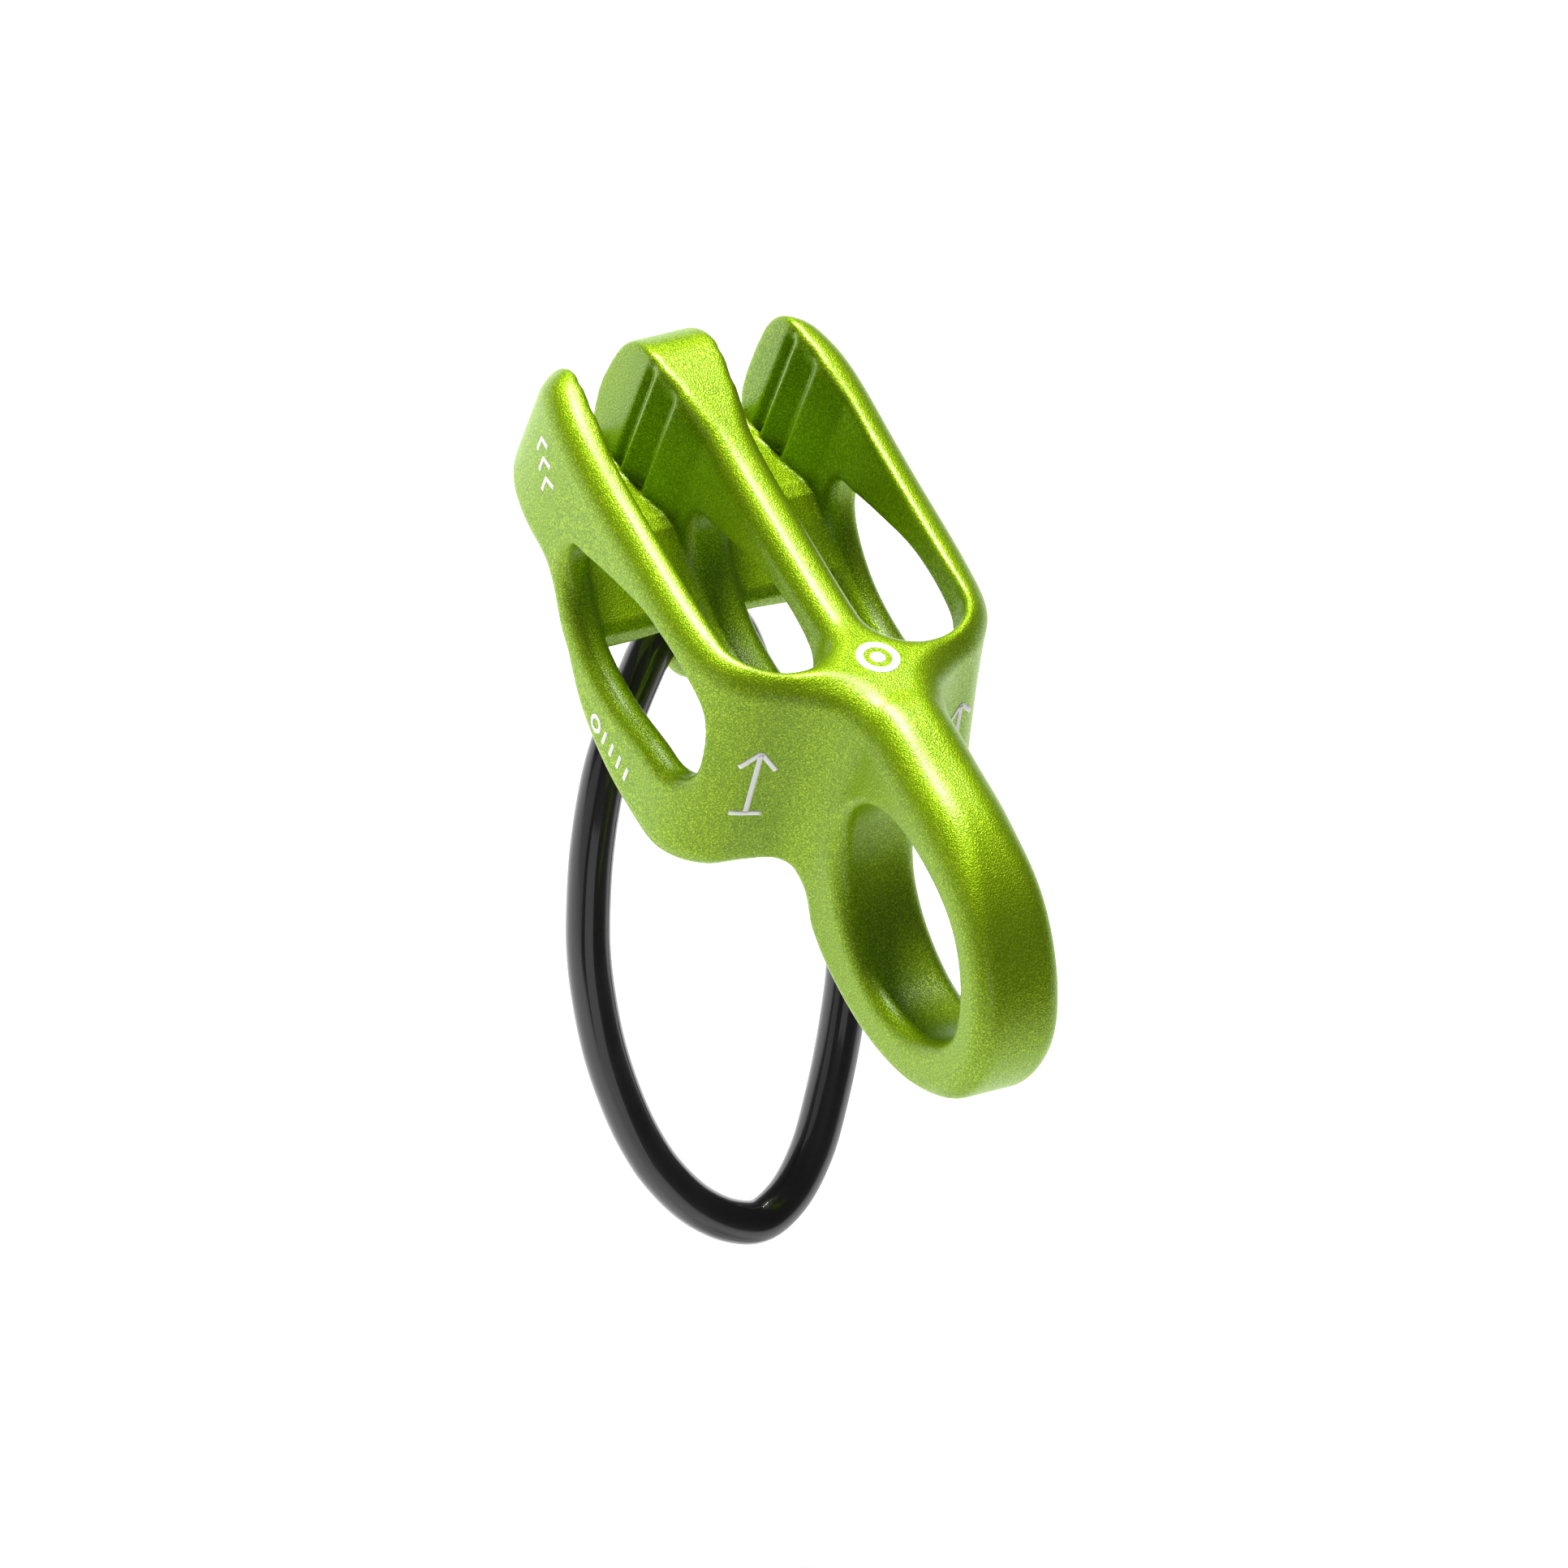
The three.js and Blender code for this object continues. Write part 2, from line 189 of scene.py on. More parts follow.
def catmull_rom(pairs, samples):
    """Points along a closed centripetal Catmull-Rom curve, evenly spread over its spans."""
    points = np.asarray(pairs, float)
    count = len(points)
    found = []
    for share in np.arange(samples) / samples * count:
        span = min(int(share), count - 1)
        t = share - span
        p = [points[(span + k) % count] for k in (-1, 0, 1, 2)]
        knots = [max(np.linalg.norm(p[k + 1] - p[k]) ** 0.5, 1e-4) for k in range(3)]
        slope1 = ((p[1] - p[0]) / knots[0] - (p[2] - p[0]) / (knots[0] + knots[1])
                  + (p[2] - p[1]) / knots[1]) * knots[1]
        slope2 = ((p[2] - p[1]) / knots[1] - (p[3] - p[1]) / (knots[1] + knots[2])
                  + (p[3] - p[2]) / knots[2]) * knots[1]
        a = 2 * p[1] - 2 * p[2] + slope1 + slope2
        b = -3 * p[1] + 3 * p[2] - 2 * slope1 - slope2
        found.append(((a * t + b) * t + slope1) * t + p[1])
    return np.array(found)


def smooth_outline(pairs):
    """A closed smooth outline through the pairs, eight points to a pair."""
    return catmull_rom(pairs, len(pairs) * 8)


# ---------------------------------------------------------------- the keeper loop
# The loop's middle line in its own plane: across the body, and away from the bore.
LOOP_ROUTE = [
    (11.0, 20.8), (12.5, 25.5), (13.5, 31.0), (13.6, 37.0), (12.3, 43.1), (10.2, 49.8),
    (7.9, 55.2), (5.0, 58.9), (1.9, 60.5), (-1.2, 59.8), (-4.9, 57.3), (-8.3, 53.2),
    (-10.4, 49.3), (-12.0, 45.0), (-13.3, 40.0), (-14.0, 34.8), (-14.2, 30.5),
    (-13.95, 26.6), (-12.9, 19.8), (-10.8, 12.5), (-8.6, 8.0), (-6.5, 4.4), (-4.7, 1.8),
    (-2.6, 0.3), (0, -0.3), (2.2, 0.25), (3.8, 1.7), (4.9, 4.2), (5.7, 7.4), (7.2, 11.4),
    (9.0, 15.6),
]


def loop_points():
    """Closely spaced points of the closed loop, each with the length of loop before it."""
    flat = catmull_rom(LOOP_ROUTE, 200 * len(LOOP_ROUTE))
    flat = np.vstack([flat, flat[:1]])
    points = np.column_stack([
        BORE_X + flat[:, 1] * math.cos(LOOP_TILT),
        flat[:, 0],
        BORE_Z + flat[:, 1] * math.sin(LOOP_TILT),
    ])
    run = np.concatenate([[0], np.cumsum(np.linalg.norm(np.diff(points, axis=0), axis=1))])
    return points, run


def loop_stretch(first_step, last_step):
    """Evenly spaced points along the loop, from one whole step to another."""
    points, run = loop_points()
    steps = round(run[-1] / LOOP_STEP)
    if last_step <= 0:
        last_step += steps
    start, end = (np.array([first_step, last_step]) / steps) * run[-1]
    wanted = np.linspace(start, end, max(2, round((end - start) / TUBE_SPACING))) % run[-1]
    return np.column_stack([np.interp(wanted, run, points[:, k]) for k in range(3)])


def add_tube(name, path, radius_at, seam_height=0.0):
    """A round solid rod along a path, capped at both ends. A seam is a thin raised line along it."""
    sides = TUBE_SIDES
    tangents = np.gradient(path, axis=0)
    tangents /= np.linalg.norm(tangents, axis=1)[:, None]
    across = np.array([math.sin(LOOP_TILT), 0, -math.cos(LOOP_TILT)])
    turns = 2 * math.pi * np.arange(sides) / sides
    from_seam = (turns - SEAM_TURN + math.pi) % (2 * math.pi) - math.pi
    seam = seam_height * np.exp(-(from_seam / SEAM_SPREAD) ** 2)
    rows = []
    for k, (point, tangent) in enumerate(zip(path, tangents)):
        u = across - tangent * (across @ tangent)
        u /= np.linalg.norm(u)
        v = np.cross(tangent, u)
        radii = radius_at(k / (len(path) - 1)) + seam
        around = np.cos(turns)[:, None] * u + np.sin(turns)[:, None] * v
        rows.append(point + radii[:, None] * around)
    points = np.vstack(rows + [path[:1], path[-1:]])
    faces = []
    for k in range(len(path) - 1):
        for j in range(sides):
            n = (j + 1) % sides
            faces.append((k * sides + j, k * sides + n, (k + 1) * sides + n, (k + 1) * sides + j))
    first_cap, last_cap = len(points) - 2, len(points) - 1
    last_row = (len(path) - 1) * sides
    for j in range(sides):
        n = (j + 1) % sides
        faces.append((first_cap, n, j))
        faces.append((last_cap, last_row + j, last_row + n))
    return add_mesh(name, points, faces)


def sleeve_radius(share):
    """The sleeve is shrunk down onto the jacket at both ends."""
    from_end = min(share, 1 - share)
    shrunk = JACKET_RADIUS + SLEEVE_WALL
    return shrunk + (SLEEVE_RADIUS - shrunk) * float(blend_between(from_end, 0.08, 0.3))


def add_keeper():
    """The coated wire loop, and the shrunk sleeve that covers its joint."""
    route = loop_stretch(JACKET_FIRST, JACKET_LAST)
    jacket = add_tube("jacket", route, lambda share: JACKET_RADIUS, SEAM_HEIGHT)
    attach(jacket, "keeper")
    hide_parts("keeper_jacket")
    jacket.data.materials.append(jacket_plastic())
    sleeve = add_tube("sleeve", loop_stretch(-SLEEVE_REACH, SLEEVE_REACH + 1), sleeve_radius)
    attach(sleeve, "keeper")
    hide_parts("keeper_sleeve")
    sleeve.data.materials.append(plain_material("sleeve"))


# ---------------------------------------------------------------- the forged body
def polygon_distance(points, u, v):
    """Signed distance to a closed outline, negative inside, on the grid of u by v."""
    pu, pv = u[:, None], v[None, :]
    nearest = np.full((len(u), len(v)), np.inf)
    inside = np.zeros((len(u), len(v)), bool)
    for (au, av), (bu, bv) in zip(points, np.roll(points, -1, axis=0)):
        eu, ev = bu - au, bv - av
        along = np.clip(((pu - au) * eu + (pv - av) * ev) / (eu * eu + ev * ev + 1e-12), 0, 1)
        nearest = np.minimum(nearest, (pu - au - eu * along) ** 2 + (pv - av - ev * along) ** 2)
        if abs(ev) > 1e-12:
            inside ^= ((av > pv) != (bv > pv)) & (pu < eu * (pv - av) / ev + au)
    return np.where(inside, -1.0, 1.0) * np.sqrt(nearest)


def round_both(a, b, radius):
    """What is inside both, with the edge between them rounded."""
    return np.minimum(-radius, np.maximum(a, b)) + np.hypot(
        np.maximum(radius + a, 0), np.maximum(radius + b, 0))


def round_either(a, b, radius):
    """What is inside either, with the corner between them filled."""
    return np.maximum(radius, np.minimum(a, b)) - np.hypot(
        np.maximum(radius - a, 0), np.maximum(radius - b, 0))


def blend_between(value, start, end):
    """0 before start, 1 after end, and a smooth rise between."""
    t = np.clip((value - start) / (end - start), 0, 1)
    return t * t * (3 - 2 * t)


def walls_side():
    """Side view of the three walls and the straps."""
    return smooth_outline([
        (BRAKE_END, 0),
        (BRAKE_END + 0.6, FRONT_HEIGHT * 0.45),
        (BRAKE_END + 2.2, FRONT_HEIGHT * 0.78),
        (BRAKE_END + 5.0, FRONT_HEIGHT * 0.97),
        (BRAKE_END + 9.0, FRONT_HEIGHT + 0.2),
        (BRAKE_END + 22, FRONT_HEIGHT - 0.3),
        (SHOULDER_X, FRONT_HEIGHT),
        (SLOT_END, FRONT_HEIGHT + 1.0),
        (NECK_X - 2, NECK_HEIGHT - 0.8),
        (NECK_X + 4, NECK_HEIGHT * 0.72),
        (NECK_X + 7, 3),
        (NECK_X + 4, -EYE_DEPTH * 0.34),
        (NECK_X - 1, -EYE_DEPTH * 0.53),
        (NECK_X - 5, -STRAP_DEPTH * 0.81),
        (SLOT_END - 1.5, -STRAP_DEPTH * 0.95),
        (SHOULDER_X - 1.5, -STRAP_DEPTH),
        (SHOULDER_X - 7, -STRAP_DEPTH * 0.97),
        (BORE_X + 6, -STRAP_DEPTH + 2.1),
        (BORE_X + 1, -STRAP_DEPTH + 5.3),
        (LIP_X - 1, -BRIDGE_DEPTH + 0.4),
        (LIP_X - 5, -BRIDGE_DEPTH + 0.2),
        (BRAKE_END + 7, -BRIDGE_DEPTH),
        (BRAKE_END + 2.6, -BRIDGE_DEPTH + 0.9),
        (BRAKE_END + 0.5, -BRIDGE_DEPTH + 3.2),
    ])


def body_plan(front):
    """Plan view of the whole body, at its front or its back. The shoulders differ between them."""
    half = [
        (BRAKE_END, 0),
        (BRAKE_END, HALF_WIDTH - 12),
        (BRAKE_END + 0.5, HALF_WIDTH - 9.4),
        (BRAKE_END + 1.6, HALF_WIDTH - 6.5),
        (BRAKE_END + 2.8, HALF_WIDTH - 4.3),
        (BRAKE_END + 4.2, HALF_WIDTH - 2.8),
        (BRAKE_END + 6.0, HALF_WIDTH - 1.6),
        (BRAKE_END + 8.8, HALF_WIDTH - 0.7),
        (BRAKE_END + 13, HALF_WIDTH - 0.1),
        (SHOULDER_X - 14, HALF_WIDTH),
    ]
    if front:
        half += [
            (SHOULDER_X - 4, HALF_WIDTH - 0.1),
            (SHOULDER_X + 1, HALF_WIDTH - 0.7),
            (SLOT_END - 1.6, HALF_WIDTH - 1.8),
            (SLOT_END + 1.2, HALF_WIDTH - 4.6),
            (SLOT_END + 3.2, HALF_WIDTH - 8.0),
            (NECK_X - 2.2, EYE_THICKNESS / 2 + 1.2),
            (NECK_X + 1.0, EYE_THICKNESS / 2 + 0.1),
        ]
    else:
        half += [
            (SHOULDER_X - 1, HALF_WIDTH),
            (SHOULDER_X + 5.5, HALF_WIDTH - 0.2),
            (SLOT_END + 3.0, HALF_WIDTH - 1.1),
            (SLOT_END + 4.8, HALF_WIDTH - 3.0),
            (SLOT_END + 5.5, HALF_WIDTH - 6.2),
            (NECK_X - 1.2, EYE_THICKNESS / 2 + 2.4),
            (NECK_X + 1.0, EYE_THICKNESS / 2 + 0.4),
        ]
    half += [(x, EYE_THICKNESS / 2) for x in (NECK_X + 4, NECK_X + 6.5, -4, 2, 8, 14, 20, 26)]
    return smooth_outline(half + [(x, -y) for x, y in reversed(half[1:])])


def eye_side():
    """Side view of the anchor eye's outer edge."""
    return smooth_outline([
        (NECK_X - 9, 5),
        (NECK_X - 7, NECK_HEIGHT - 4),
        (NECK_X - 1, NECK_HEIGHT - 0.4),
        (NECK_X + 8, NECK_HEIGHT),
        (1.5, NECK_HEIGHT - 0.4),
        (8.5, NECK_HEIGHT - 3.2),
        (EYE_END - 2.6, NECK_HEIGHT - 8.6),
        (EYE_END, 0.4),
        (EYE_END - 1.6, -7.2),
        (9.6, -EYE_DEPTH + 2.8),
        (1.6, -EYE_DEPTH),
        (-7.5, -EYE_DEPTH + 0.2),
        (-11.6, -EYE_DEPTH + 1.6),
        (-14.2, -EYE_DEPTH + 4.6),
        (-16.6, -EYE_DEPTH + 7.2),
        (NECK_X - 7, -EYE_DEPTH + 10),
        (NECK_X - 9, -EYE_DEPTH + 15),
    ])


def eye_hole_side():
    """Side view of the hole through the anchor eye."""
    return smooth_outline([
        (-HOLE_BRAKE, 1.8),
        (-HOLE_BRAKE * 0.88, -HOLE_BACK * 0.38),
        (-HOLE_BRAKE * 0.55, -HOLE_BACK * 0.8),
        (0.8, -HOLE_BACK),
        (HOLE_EYE * 0.62, -HOLE_BACK * 0.8),
        (HOLE_EYE * 0.94, -HOLE_BACK * 0.33),
        (HOLE_EYE * 0.95, HOLE_FRONT * 0.28),
        (HOLE_EYE * 0.66, HOLE_FRONT * 0.78),
        (3.0, HOLE_FRONT * 0.99),
        (-HOLE_BRAKE * 0.45, HOLE_FRONT * 0.96),
        (-HOLE_BRAKE * 0.87, HOLE_FRONT * 0.62),
    ])


def window_side():
    """Side view of the window through all three walls."""
    return smooth_outline([
        (-47.9, 3.7), (-45.2, 5.0), (-40.6, 6.9), (-34.4, 8.9), (-28.0, 8.9), (-24.6, 7.4),
        (-22.8, 3.8), (-22.6, -0.4), (-24.4, -2.8), (-29.2, -3.6), (-35.5, -4.6),
        (-41.3, -4.1), (-45.9, -1.8), (-47.9, 1.0),
    ])


def slot_plan(side, toothed):
    """Plan view of one rope slot with its channel, on the +Y or the -Y side."""
    middle = side * SLOT_PITCH / 2
    half = SLOT_WIDTH / 2
    edge = [(RAMP_X, half)]
    for tooth in range(TOOTH_COUNT if toothed else 0):
        valley_x = FIRST_VALLEY_X - tooth * TOOTH_PITCH
        valley_y = half - FIRST_VALLEY_DEPTH - tooth * TOOTH_GROWTH
        edge.append((valley_x + DROP_LENGTH, valley_y - TOOTH_DEPTH))
        edge.append((valley_x, valley_y))
    nose_x = FIRST_VALLEY_X - (TOOTH_COUNT - 1) * TOOTH_PITCH - NOSE_RISE_LENGTH
    edge.append((nose_x, half - NOSE_DEPTH))
    edge.append((nose_x - 20, half - NOSE_DEPTH))
    upper = [(x, middle + y) for x, y in edge]
    lower = [(x, middle - y) for x, y in edge]
    turns = np.linspace(-math.pi / 2, math.pi / 2, 40)
    arc = [(SLOT_END - half + half * math.cos(t), middle + half * math.sin(t)) for t in turns]
    return np.array(arc + upper + list(reversed(lower)))


def slot_space_side():
    """Side view of what the slots cut: above the channel floors, and right through at the eye end."""
    reach = 60
    return np.array([
        (BRAKE_END - reach, -FLOOR_DEPTH),
        (BRAKE_END, -FLOOR_DEPTH),
        (LIP_X - 6, -(FLOOR_DEPTH + LIP_DEPTH) / 2),
        (LIP_X - 1.5, -LIP_DEPTH),
        (LIP_X, -LIP_DEPTH - 0.2),
        (BRIDGE_END_X, -BRIDGE_END_DEPTH),
        (BRIDGE_END_X + 0.6, -BRIDGE_END_DEPTH - 1),
        (BRIDGE_END_X + 0.6, -reach),
        (SLOT_END + reach, -reach),
        (SLOT_END + reach, reach),
        (BRAKE_END - reach, reach),
    ])


def body_field():
    """Signed distance to the forged body on a grid, and the grid's axes."""
    margin = 4 * VOXEL
    half_count = math.ceil((HALF_WIDTH + margin) / VOXEL)
    xs = np.arange(BRAKE_END - margin, EYE_END + margin, VOXEL)
    ys = np.arange(-half_count, half_count + 1) * VOXEL
    zs = np.arange(-EYE_DEPTH - margin, NECK_HEIGHT + margin, VOXEL)
    x, y, z = xs[:, None, None], ys[None, :, None], zs[None, None, :]

    def from_side(outline):
        return polygon_distance(outline, xs, zs)[:, None, :]

    def from_plan(outline):
        return polygon_distance(outline, xs, ys)[:, :, None]

    side = round_either(from_side(walls_side()), from_side(eye_side()), SIDE_FILLET)
    toothed, smooth = (
        np.minimum(from_plan(slot_plan(1, teeth)), from_plan(slot_plan(-1, teeth)))
        for teeth in (True, False)
    )
    slots = toothed + (smooth - toothed) * TOOTH_FADE * blend_between(z, *TOOTH_FADE_Z)
    cut = round_both(slots, from_side(slot_space_side()), FLOOR_FILLET)

    in_front = blend_between(z, *BACK_TO_FRONT_Z)
    on_bridge = 1 - blend_between(x, *BRIDGE_TO_STRAP_X)
    on_neck = blend_between(x, *WALL_TO_NECK_X) * (1 - blend_between(x, *NECK_TO_TIP_X))
    back_round = STRAP_ROUND + (BRIDGE_ROUND - STRAP_ROUND) * on_bridge
    front_round = WALL_ROUND + (NECK_ROUND - WALL_ROUND) * on_neck
    outer_round = back_round + (front_round - back_round) * in_front
    in_eye = blend_between(x, *BODY_TO_EYE_X)
    outer_round = outer_round + (EYE_ROUND - outer_round) * in_eye * (1 - on_neck * in_front)

    middle = 1 - blend_between(np.abs(y), *MIDDLE_TO_OUTER_Y)
    middle = middle * blend_between(x, *FIN_TO_WALL_X)
    inner_round = WALL_INNER_ROUND + (MIDDLE_ROUND - WALL_INNER_ROUND) * middle

    share = np.clip((z - PLAN_BACK_Z) / (PLAN_FRONT_Z - PLAN_BACK_Z), -0.4, 1.25)
    at_back, at_front = from_plan(body_plan(False)), from_plan(body_plan(True))
    solid = round_both(side, at_back + (at_front - at_back) * share, outer_round)
    solid = round_both(solid, -cut, inner_round)
    in_back = 1 - blend_between(z, *CUT_BACK_TO_FRONT_Z)
    window_round = WINDOW_FRONT_ROUND + (WINDOW_BACK_ROUND - WINDOW_FRONT_ROUND) * in_back
    solid = round_both(solid, -from_side(window_side()), window_round)
    from_bore = np.hypot(x - BORE_X, z - BORE_Z)
    lug = round_both(from_bore - BORE_RADIUS - LUG_WALL, np.abs(y) - MIDDLE_WALL / 2, LUG_ROUND)
    solid = round_either(solid, lug, LUG_FILLET)
    solid = round_both(solid, BORE_RADIUS - from_bore, BORE_ROUND)
    hole_round = HOLE_FRONT_ROUND + (HOLE_BACK_ROUND - HOLE_FRONT_ROUND) * in_back
    solid = round_both(solid, -from_side(eye_hole_side()), hole_round)
    return solid, xs, ys, zs


def nearest_on_field(field, origin, points):
    """Value and gradient of the field at points, both interpolated between grid points."""
    place = (points - origin) / VOXEL
    low = np.clip(np.floor(place).astype(int), 0, np.array(field.shape) - 2)
    part = place - low
    corners = {}
    for i in (0, 1):
        for j in (0, 1):
            for k in (0, 1):
                corners[i, j, k] = field[low[:, 0] + i, low[:, 1] + j, low[:, 2] + k]
    value = np.zeros(len(points))
    slope = np.zeros((len(points), 3))
    for (i, j, k), corner in corners.items():
        wx = part[:, 0] if i else 1 - part[:, 0]
        wy = part[:, 1] if j else 1 - part[:, 1]
        wz = part[:, 2] if k else 1 - part[:, 2]
        value += corner * wx * wy * wz
        slope[:, 0] += corner * (1 if i else -1) * wy * wz
        slope[:, 1] += corner * wx * (1 if j else -1) * wz
        slope[:, 2] += corner * wx * wy * (1 if k else -1)
    return value, slope / VOXEL


def relax(points, quads, field, origin):
    """Evens out the mesh, and puts every point back on the surface after each round."""
    edges = np.vstack([quads[:, [k, (k + 1) % 4]] for k in range(4)])
    both = np.vstack([edges, edges[:, ::-1]])
    degree = np.bincount(both[:, 0], minlength=len(points))[:, None]
    for _ in range(RELAX_ROUNDS):
        sums = np.column_stack([
            np.bincount(both[:, 0], weights=points[both[:, 1], k], minlength=len(points))
            for k in range(3)
        ])
        points = points + 0.5 * (sums / degree - points)
        value, slope = nearest_on_field(field, origin, points)
        steep = np.maximum((slope ** 2).sum(axis=1), 0.2)
        points = points - (np.clip(value, -VOXEL, VOXEL) / steep)[:, None] * slope
    return points


def add_body():
    """The forged body: the surface where its field is zero."""
    field, xs, ys, zs = body_field()
    grid = openvdb.FloatGrid(OUTSIDE_VALUE)
    grid.copyFromArray(np.ascontiguousarray(field, np.float32))
    points, quads = grid.convertToQuads(isovalue=0.0)
    origin = np.array([xs[0], ys[0], zs[0]])
    points = relax(points.astype(float) * VOXEL + origin, quads.astype(int), field, origin)
    body = add_mesh("forged_body", points, quads.tolist())
    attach(body, "descender")
    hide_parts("body")
    body.data.materials.append(anodised_metal())
    return body


# ---------------------------------------------------------------- printed marks
def stroke_grid(line, width, spacing=0.3):
    """Rows of four points across a stroke, along its middle line, and whether it is a ring."""
    line = np.asarray(line, float)
    closed = np.allclose(line[0], line[-1])
    run = np.concatenate([[0], np.cumsum(np.linalg.norm(np.diff(line, axis=0), axis=1))])
    wanted = np.linspace(0, run[-1], max(9 if closed else 3, math.ceil(run[-1] / spacing)))
    middle = np.column_stack([np.interp(wanted, run, line[:, k]) for k in range(2)])
    along = np.gradient(middle, axis=0)
    if closed:
        along[0] += along[-1]
        middle, along = middle[:-1], along[:-1]
    along /= np.linalg.norm(along, axis=1)[:, None]
    across = np.column_stack([-along[:, 1], along[:, 0]])
    offsets = np.array([-0.5, -0.17, 0.17, 0.5]) * width
    return middle[:, None, :] + offsets[None, :, None] * across[:, None, :], closed


def ring_line(radius, centre=(0, 0)):
    """The middle line of a round stroke."""
    turns = np.linspace(0, 2 * math.pi, 49)
    return np.column_stack([centre[0] + radius * np.cos(turns), centre[1] + radius * np.sin(turns)])


def add_mark(name, paint, tree, centre, facing, up, strokes, width):
    """Strokes of thin print laid on the body. Each stroke is a line of (across, up) points."""
    facing = Vector(facing).normalized()
    up = (Vector(up) - facing * facing.dot(Vector(up))).normalized()
    across = up.cross(facing)
    points, faces = [], []
    for line in strokes:
        grid, closed = stroke_grid(line, width)
        rows = len(grid)
        first = len(points)
        lower = []
        for row in grid:
            for a, b in row:
                start = Vector(centre) + across * a + up * b + facing * MARK_SEARCH
                place, normal, _, _ = tree.ray_cast(start, -facing, 2 * MARK_SEARCH)
                points.append(place + normal * PRINT_HEIGHT)
                lower.append(place - normal * PRINT_ROOT)
        points += lower
        below = first + 4 * rows
        for r in range(rows if closed else rows - 1):
            n = (r + 1) % rows
            for c in range(3):
                q = (4 * r + c, 4 * n + c, 4 * n + c + 1, 4 * r + c + 1)
                faces.append(tuple(first + i for i in q))
                faces.append(tuple(below + i for i in reversed(q)))
        near_side = [4 * r for r in range(rows)]
        far_side = [4 * r + 3 for r in reversed(range(rows))]
        if closed:
            rims = [near_side, far_side]
        else:
            rims = [near_side + [4 * rows - 3, 4 * rows - 2] + far_side + [2, 1]]
        for rim in rims:
            for i, j in zip(rim, rim[1:] + rim[:1]):
                faces.append((first + j, first + i, below + i, below + j))
    mark = add_mesh(name, points, faces)
    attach(mark, "descender")
    mark.data.materials.append(paint)


def add_marks(body):
    """Plain marks: a ring and dot, arrows at the shoulders, chevrons on the fins, a ring and bars."""
    paint = plain_material("print")
    mesh = body.data
    corners = [tuple(v.co / MM) for v in mesh.vertices]
    tree = BVHTree.FromPolygons(corners, [tuple(p.vertices) for p in mesh.polygons])
    arrow = [
        [(0, -4.2), (0, 3.2)],
        [(-1.7, 1.3), (0, 3.3), (1.7, 1.3)],
        [(-1.5, -4.2), (1.5, -4.2)],
    ]
    chevrons = [
        [(-1.3, 1.6 - k * 1.9), (0, 2.6 - k * 1.9), (1.3, 1.6 - k * 1.9)] for k in range(3)
    ]
    bars = [ring_line(0.75, (-3.6, 0))]
    bars += [[(-1.8 + 1.5 * k, -0.8), (-1.8 + 1.5 * k, 0.8)] for k in range(4)]
    add_mark("mark_junction", paint, tree, (-20.6, 0.2, 14), (0, 0, 1), (-1, 0, 0),
             [ring_line(1.75), ring_line(0.4)], 0.75)
    for side, word in ((-1, "left"), (1, "right")):
        add_mark("mark_shoulder_" + word, paint, tree, (-18.6, side * 10.8, 2.4),
                 (0.76, side * 0.63, 0.15), (-0.1, 0, 1), arrow, 0.5)
        add_mark("mark_fin_" + word, paint, tree, (-55.4, side * 16, 6.6), (-0.1, side, 0),
                 (-0.75, 0, 0.55), chevrons, 0.42)
        add_mark("mark_strap_" + word, paint, tree, (-32.2, side * 16.2, -8.4), (0, side, 0),
                 (0, 0, 1), [[(-side * a, b) for a, b in line] for line in bars], 0.42)


# ---------------------------------------------------------------- materials
# Noise values mostly lie between these two.
NOISE_LOW = 0.3
NOISE_HIGH = 0.7

# dark colour, light colour, lowest and highest roughness, metallic, grains a metre
PLAIN_FINISHES = {
    "sleeve": ((0.011, 0.011, 0.012), (0.02, 0.02, 0.022), 0.45, 0.6, 0.0, 1800),
    "print": ((0.93, 0.94, 0.92), (0.98, 0.98, 0.97), 0.5, 0.65, 0.0, 4000),
    "wire": ((0.30, 0.30, 0.31), (0.52, 0.53, 0.54), 0.3, 0.5, 1.0, 3000),
    "ferrule": ((0.42, 0.42, 0.41), (0.6, 0.6, 0.58), 0.4, 0.6, 1.0, 1500),
}


def new_material(name):
    """A node material, with what is needed to build it."""
    material = bpy.data.materials.new(name)
    material.use_nodes = True
    nodes, links = material.node_tree.nodes, material.node_tree.links
    return material, nodes, links, nodes["Principled BSDF"]


def object_noise(nodes, links, scale, detail=2.0, roughness=0.5):
    """Noise fixed to the piece, of so many grains a metre."""
    place = nodes.new("ShaderNodeTexCoord")
    noise = nodes.new("ShaderNodeTexNoise")
    noise.inputs["Scale"].default_value = scale
    noise.inputs["Detail"].default_value = detail
    noise.inputs["Roughness"].default_value = roughness
    links.new(place.outputs["Object"], noise.inputs["Vector"])
    return noise


def ramp(nodes, links, source, stops):
    """Colours against a value: stops are (place, colour)."""
    node = nodes.new("ShaderNodeValToRGB")
    while len(node.color_ramp.elements) < len(stops):
        node.color_ramp.elements.new(0.5)
    for element, (place, colour) in zip(node.color_ramp.elements, stops):
        element.position = place
        element.color = (*colour, 1)
    links.new(source, node.inputs["Fac"])
    return node


def vary_roughness(nodes, links, noise, shader, at_low, at_high):
    """Roughness that follows a noise, from one value to another."""
    node = nodes.new("ShaderNodeMapRange")
    node.inputs["From Min"].default_value = NOISE_LOW
    node.inputs["From Max"].default_value = NOISE_HIGH
    node.inputs["To Min"].default_value = at_low
    node.inputs["To Max"].default_value = at_high
    links.new(noise.outputs["Fac"], node.inputs["Value"])
    links.new(node.outputs["Result"], shader.inputs["Roughness"])


